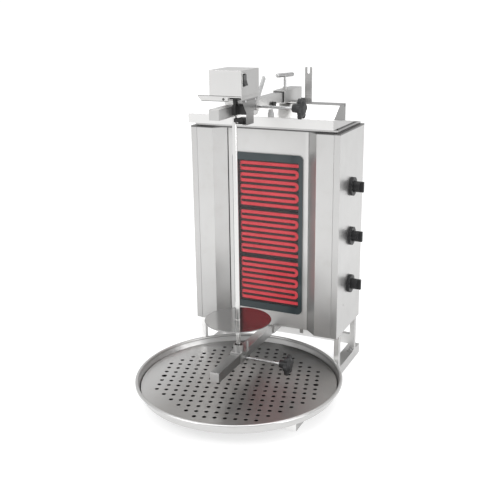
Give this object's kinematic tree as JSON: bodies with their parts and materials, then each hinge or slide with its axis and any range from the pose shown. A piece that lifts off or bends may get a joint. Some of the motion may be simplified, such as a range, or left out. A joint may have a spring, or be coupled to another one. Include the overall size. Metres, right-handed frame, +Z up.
{
  "type": "vertical rotisserie grill",
  "caption": "Upright electric spit grill: heater cabinet with folded wings, motor-driven vertical spit on sliding arms, round drip pan on a railed base.",
  "frame": {"origin": "on the ground below the middle of the machine's overall box", "axes": "+Z up, -Y towards the cook who stands in front of the pan and spit, +X towards the control knobs"},
  "size_m": [0.5499, 0.676, 0.856],
  "materials": {
    "frame_steel": "brushed stainless, satin",
    "screw_steel": "bright",
    "rubber": "matt black",
    "pan_steel": "spun stainless with fine rings",
    "plate_steel": "satin stainless",
    "cabinet_steel": "brushed stainless with an upright grain",
    "wing_steel": "brushed stainless, heat tinted near the heater",
    "panel_steel": "stainless dulled by heat",
    "lid_steel": "brushed stainless",
    "heater_glass": "dark glass ceramic, polished",
    "knob_plastic": "moulded black",
    "ribbon": "glowing red when on",
    "tray_board": "rough insulating board",
    "switch_plastic": "moulded",
    "gland_plastic": "moulded dark grey",
    "mast_steel": "satin stainless",
    "sleeve_steel": "satin stainless",
    "black_plastic": "moulded black",
    "brass": "turned",
    "bright_steel": "bright plated",
    "arm_steel": "drawn stainless tube",
    "motor_steel": "brushed stainless",
    "motor_can": "dark enamel",
    "rocker_plastic": "moulded black",
    "spit_steel": "turned stainless"
  },
  "bodies": {
    "stand": {"base_rail_right": "frame_steel", "base_rail_left": "frame_steel", "legs": "frame_steel", "foot_plate_screws": "screw_steel", "rear_cross_beam": "frame_steel", "front_cross_tie": "frame_steel", "rubber_feet": "rubber", "side_panel_right": "cabinet_steel", "side_panel_left": "cabinet_steel", "wing_right": "wing_steel", "wing_left": "wing_steel", "front_panel": "panel_steel", "bottom_plate": "cabinet_steel", "top_plate": "cabinet_steel", "top_lid": "lid_steel", "back_cover": "cabinet_steel", "rear_screws": "screw_steel", "glass_panel": "heater_glass", "heating_ribbons": "ribbon", "element_trays": "tray_board", "power_switches": "switch_plastic", "knob_bezels": "knob_plastic", "cable_glands": "gland_plastic", "rear_bridge": "lid_steel", "cable_mast": "mast_steel", "arm_sleeve": "sleeve_steel", "sleeve_collar": "black_plastic", "lower_arm": "arm_steel", "lower_arm_mount": "frame_steel"},
    "pan": {"drip_pan": "pan_steel"},
    "plate": {"perforated_plate": "plate_steel"},
    "knob_top": {"control_knob_top": "knob_plastic"},
    "knob_middle": {"control_knob_middle": "knob_plastic"},
    "knob_bottom": {"control_knob_bottom": "knob_plastic"},
    "arm": {"top_arm": "arm_steel", "arm_stop": "rubber", "motor_cover": "motor_steel", "motor_plate": "motor_steel", "gear_motor": "motor_can", "gear_case": "motor_steel", "hanger_plate": "motor_steel", "spit_top_guide": "black_plastic", "motor_saddle": "sleeve_steel", "guide_block": "black_plastic"},
    "rocker": {"rocker_button": "rocker_plastic"},
    "lever": {"lock_lever": "bright_steel"},
    "spit": {"spit_rod": "spit_steel", "meat_disc": "spit_steel", "drive_gear": "bright_steel"},
    "pinion": {"drive_pinion": "bright_steel"},
    "carriage": {"lower_carriage": "sleeve_steel", "spit_bearing": "black_plastic"},
    "t_pad": {"t_clamp_pad": "brass"},
    "t_screw": {"t_clamp_screw": "bright_steel"},
    "top_pad": {"top_star_pad": "brass"},
    "top_star": {"top_star_screw": "bright_steel", "top_star_knob": "knob_plastic"},
    "lower_pad": {"lower_star_pad": "brass"},
    "lower_star": {"lower_star_screw": "bright_steel", "lower_star_knob": "knob_plastic"}
  },
  "joints": [
    {"name": "arm_slide", "type": "slide", "parent": "stand", "child": "arm", "axis": [0, -1, 0], "range_m": [-0.06, 0.06]},
    {"name": "carriage_slide", "type": "slide", "parent": "stand", "child": "carriage", "axis": [0, -1, 0], "range_m": [-0.06, 0.06]},
    {"name": "spit_spin", "type": "hinge", "parent": "arm", "child": "spit", "pos_m": [0, -0.063, 0.45], "axis": [0, 0, 1], "continuous": true},
    {"name": "pinion_spin", "type": "hinge", "parent": "arm", "child": "pinion", "pos_m": [0, -0.0459, 0.78], "axis": [0, 0, 1], "continuous": true},
    {"name": "rocker_tip", "type": "hinge", "parent": "arm", "child": "rocker", "pos_m": [0.042, -0.0955, 0.834], "axis": [0, 1, 0], "range_deg": [0, 16]},
    {"name": "lever_swing", "type": "hinge", "parent": "arm", "child": "lever", "pos_m": [0.0225, 0.0075, 0.7605], "axis": [1, 0, 0], "range_deg": [-45, 40]},
    {"name": "top_pad_slide", "type": "slide", "parent": "arm", "child": "top_pad", "axis": [1, 0, 0], "range_m": [0, 0.002]},
    {"name": "top_star_turn", "type": "hinge", "parent": "top_pad", "child": "top_star", "pos_m": [0.1, 0.0075, 0.7605], "axis": [1, 0, 0], "range_deg": [0, 720]},
    {"name": "lower_pad_slide", "type": "slide", "parent": "carriage", "child": "lower_pad", "axis": [1, 0, 0], "range_m": [0, 0.002]},
    {"name": "lower_star_turn", "type": "hinge", "parent": "lower_pad", "child": "lower_star", "pos_m": [0.1, -0.063, 0.1125], "axis": [1, 0, 0], "range_deg": [0, 720]},
    {"name": "t_pad_slide", "type": "slide", "parent": "stand", "child": "t_pad", "axis": [0, 0, 1], "range_m": [0, 0.002]},
    {"name": "t_screw_turn", "type": "hinge", "parent": "t_pad", "child": "t_screw", "pos_m": [0, 0.2555, 0.8], "axis": [0, 0, 1], "range_deg": [0, 720]},
    {"name": "pan_slide", "type": "slide", "parent": "stand", "child": "pan", "axis": [0, -1, 0], "range_m": [0, 0.12]},
    {"name": "plate_lift", "type": "slide", "parent": "pan", "child": "plate", "axis": [0, 0, 1], "range_m": [0, 0.025]},
    {"name": "knob_turn_top", "type": "hinge", "parent": "stand", "child": "knob_top", "pos_m": [0.23, 0.2045, 0.5336], "axis": [1, 0, 0], "range_deg": [-270, 0]},
    {"name": "knob_turn_middle", "type": "hinge", "parent": "stand", "child": "knob_middle", "pos_m": [0.23, 0.2045, 0.3963], "axis": [1, 0, 0], "range_deg": [-270, 0]},
    {"name": "knob_turn_bottom", "type": "hinge", "parent": "stand", "child": "knob_bottom", "pos_m": [0.23, 0.2045, 0.259], "axis": [1, 0, 0], "range_deg": [-270, 0]}
  ],
  "couplings": [
    {"joint": "carriage_slide", "follows": "arm_slide", "ratio": 1},
    {"joint": "pinion_spin", "follows": "spit_spin", "ratio": -2.8},
    {"joint": "top_pad_slide", "follows": "top_star_turn", "m_per_rad": 0.00015915},
    {"joint": "lower_pad_slide", "follows": "lower_star_turn", "m_per_rad": 0.00015915},
    {"joint": "t_pad_slide", "follows": "t_screw_turn", "m_per_rad": 0.00015915}
  ]
}
